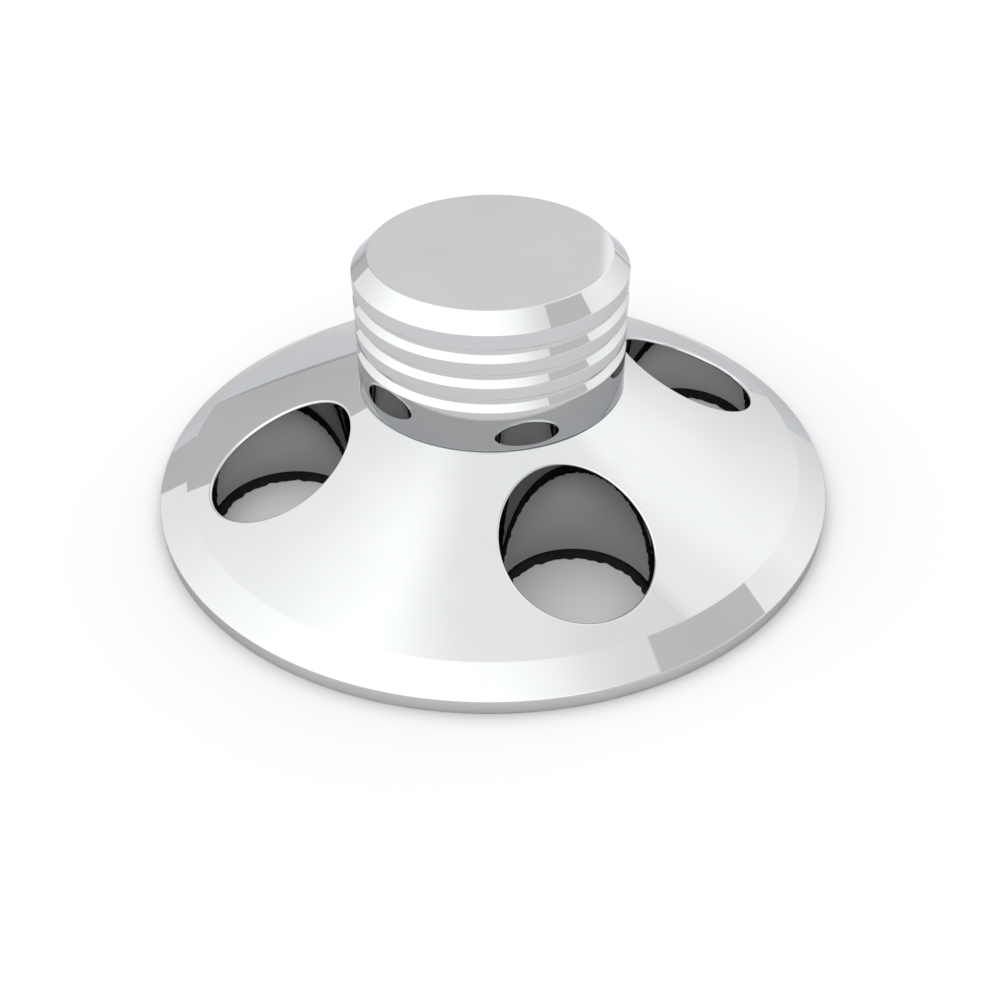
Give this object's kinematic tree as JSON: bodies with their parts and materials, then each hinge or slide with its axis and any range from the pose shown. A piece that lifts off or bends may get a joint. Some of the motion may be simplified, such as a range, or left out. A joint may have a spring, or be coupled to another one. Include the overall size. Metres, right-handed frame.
{
  "type": "fire sprinkler head",
  "caption": "Flush pendent fire sprinkler head: vented conical escutcheon, finned heat collector cap, sprung valve, drop-down deflector and fusible lever release.",
  "frame": {"origin": "centre of the flange's flat mounting face", "axes": "+Z along the head's axis from the mounting face towards the heat collector, which points down in service; the four vent bores lie on the X and Y axes"},
  "size_m": [0.08, 0.08, 0.0308],
  "materials": {
    "polished_chrome": "mirror polished chrome plate",
    "turned_steel": "fine turned steel",
    "spring_steel": "dark spring steel",
    "stainless_sheet": "rolled stainless sheet",
    "cast_brass": "machined brass",
    "copper": "turned copper",
    "fusible_metal": "dull low-melting alloy",
    "fibre_gasket": "pressed red fibre",
    "black_rubber": "moulded rubber",
    "foam_rubber": "die-cut foam rubber",
    "ptfe_coating": "white PTFE film on a steel washer",
    "ceramic": "unglazed ceramic"
  },
  "bodies": {
    "frame": {"escutcheon_flange": "polished_chrome", "ceiling_seal": "foam_rubber", "lock_ring": "turned_steel", "body_gasket": "fibre_gasket", "inlet_body": "cast_brass", "inlet_strainer": "stainless_sheet", "strainer_clip": "spring_steel", "seat_insert": "stainless_sheet", "seat_o_ring": "black_rubber", "guide_ring": "cast_brass", "frame_barrel": "cast_brass", "lever_pivot_pins": "spring_steel"},
    "collector": {"heat_collector": "polished_chrome", "fusible_cylinder": "copper", "cylinder_nut": "turned_steel", "fusible_alloy": "fusible_metal"},
    "valve": {"valve_cap": "cast_brass", "disc_spring": "ptfe_coating", "deflector": "cast_brass", "deflector_washer": "turned_steel", "guide_pins": "turned_steel", "compression_screw": "spring_steel", "insulator_disc": "ceramic", "link_core": "copper"},
    "lever_right": {"lever_right": "stainless_sheet"},
    "lever_left": {"lever_left": "stainless_sheet"}
  },
  "joints": [
    {"name": "collector_release", "type": "slide", "parent": "frame", "child": "collector", "axis": [0, 0, 1], "range_m": [0, 0.025]},
    {"name": "deflector_drop", "type": "slide", "parent": "frame", "child": "valve", "axis": [0, 0, 1], "range_m": [0, 0.0095]},
    {"name": "lever_right_swing", "type": "hinge", "parent": "frame", "child": "lever_right", "pos_m": [0.01175, 0, 0.02005], "axis": [0, 1, 0], "range_deg": [0, 90]},
    {"name": "lever_left_swing", "type": "hinge", "parent": "frame", "child": "lever_left", "pos_m": [-0.01175, 0, 0.02005], "axis": [0, -1, 0], "range_deg": [0, 90]}
  ],
  "couplings": [
    {"joint": "deflector_drop", "follows": "collector_release", "ratio": 0.38},
    {"joint": "lever_right_swing", "follows": "collector_release", "rad_per_m": 62.8},
    {"joint": "lever_left_swing", "follows": "collector_release", "rad_per_m": 62.8}
  ]
}
